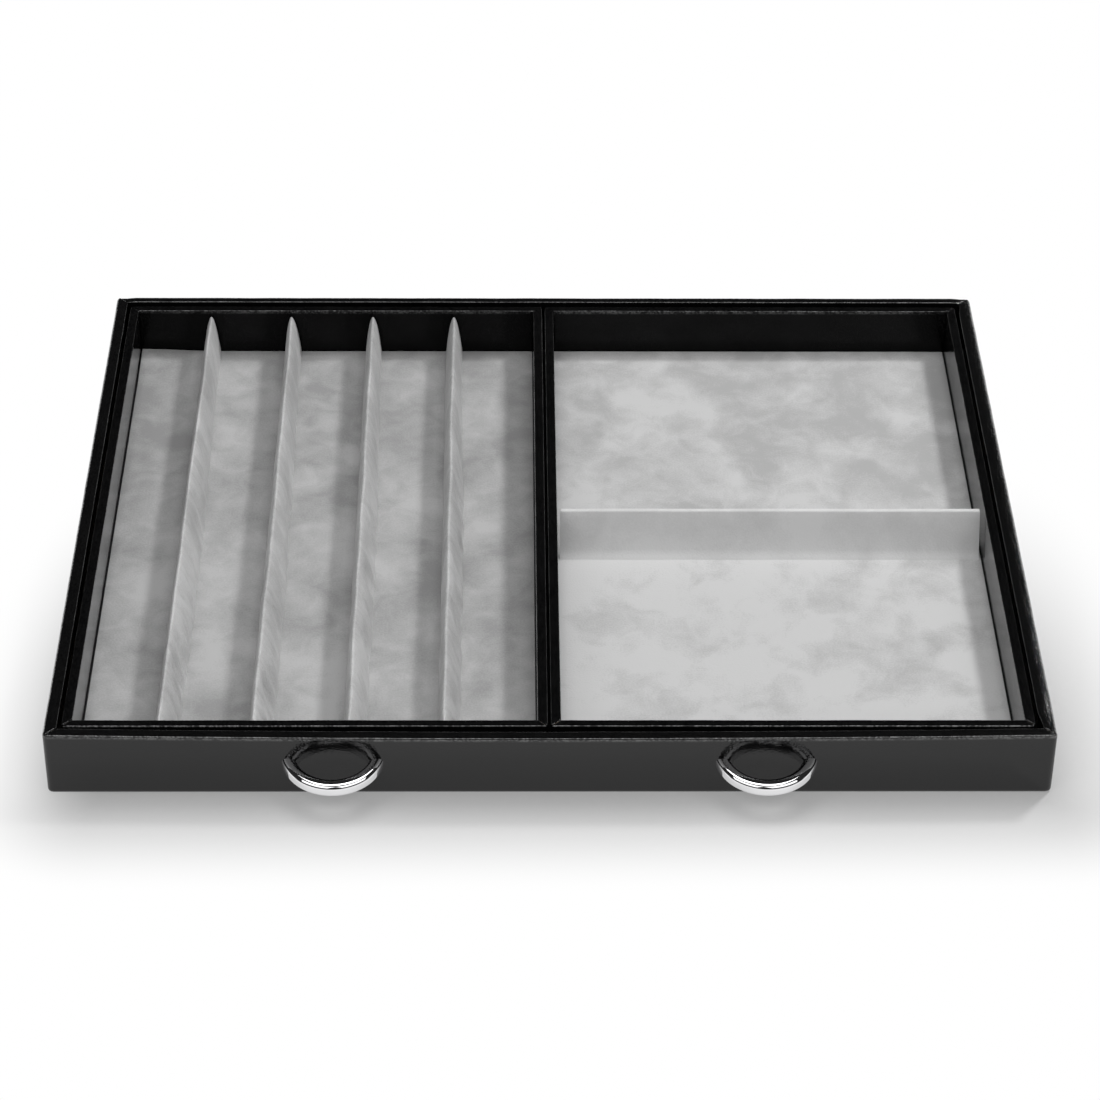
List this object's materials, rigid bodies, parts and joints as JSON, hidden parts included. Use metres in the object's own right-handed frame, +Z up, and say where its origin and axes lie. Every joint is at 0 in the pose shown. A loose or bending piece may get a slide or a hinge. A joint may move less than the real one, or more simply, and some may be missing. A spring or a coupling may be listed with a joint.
{
  "type": "jewellery box drawer",
  "caption": "Shallow leatherette-wrapped drawer with half-ring pulls and two lift-out velour trays, one with soft fins and one with a cross divider.",
  "frame": {"origin": "centre of the drawer's underside", "axes": "+X to the right along the front, +Y from the front to the back, +Z up"},
  "size_m": [0.35, 0.2961, 0.026],
  "materials": {
    "leatherette": "black, pebbled, semi-gloss",
    "fibreboard": "plain sanded fibreboard",
    "lining_paper": "black, matt",
    "velour": "pale grey, short nap",
    "card": "plain grey card",
    "polished_chrome": "polished",
    "screw_steel": "bright zinc"
  },
  "bodies": {
    "drawer": {"drawer_front_board": "fibreboard", "drawer_front_wrap": "leatherette", "drawer_right_board": "fibreboard", "drawer_right_wrap": "leatherette", "drawer_back_board": "fibreboard", "drawer_back_wrap": "leatherette", "drawer_left_board": "fibreboard", "drawer_left_wrap": "leatherette", "drawer_base_board": "fibreboard", "drawer_lining": "lining_paper", "drawer_underside": "leatherette", "ring_pull_left": "polished_chrome", "ring_pull_right": "polished_chrome", "pull_screws": "screw_steel"},
    "left_tray": {"left_tray_front_board": "fibreboard", "left_tray_front_wrap": "leatherette", "left_tray_right_board": "fibreboard", "left_tray_right_wrap": "leatherette", "left_tray_back_board": "fibreboard", "left_tray_back_wrap": "leatherette", "left_tray_left_board": "fibreboard", "left_tray_left_wrap": "leatherette", "left_tray_base_board": "fibreboard", "left_tray_underside": "leatherette", "left_tray_floor_pad": "velour", "fin_1_sleeve": "velour", "fin_1_card": "card", "fin_2_sleeve": "velour", "fin_2_card": "card", "fin_3_sleeve": "velour", "fin_3_card": "card", "fin_4_sleeve": "velour", "fin_4_card": "card"},
    "right_tray": {"right_tray_front_board": "fibreboard", "right_tray_front_wrap": "leatherette", "right_tray_right_board": "fibreboard", "right_tray_right_wrap": "leatherette", "right_tray_back_board": "fibreboard", "right_tray_back_wrap": "leatherette", "right_tray_left_board": "fibreboard", "right_tray_left_wrap": "leatherette", "right_tray_base_board": "fibreboard", "right_tray_underside": "leatherette", "right_tray_floor_pad": "velour", "divider_sleeve": "velour", "divider_card": "card"}
  },
  "joints": [
    {"name": "left_tray_lift", "type": "slide", "parent": "drawer", "child": "left_tray", "axis": [0, 0, 1], "range_m": [0, 0.04]},
    {"name": "right_tray_lift", "type": "slide", "parent": "drawer", "child": "right_tray", "axis": [0, 0, 1], "range_m": [0, 0.04]}
  ]
}
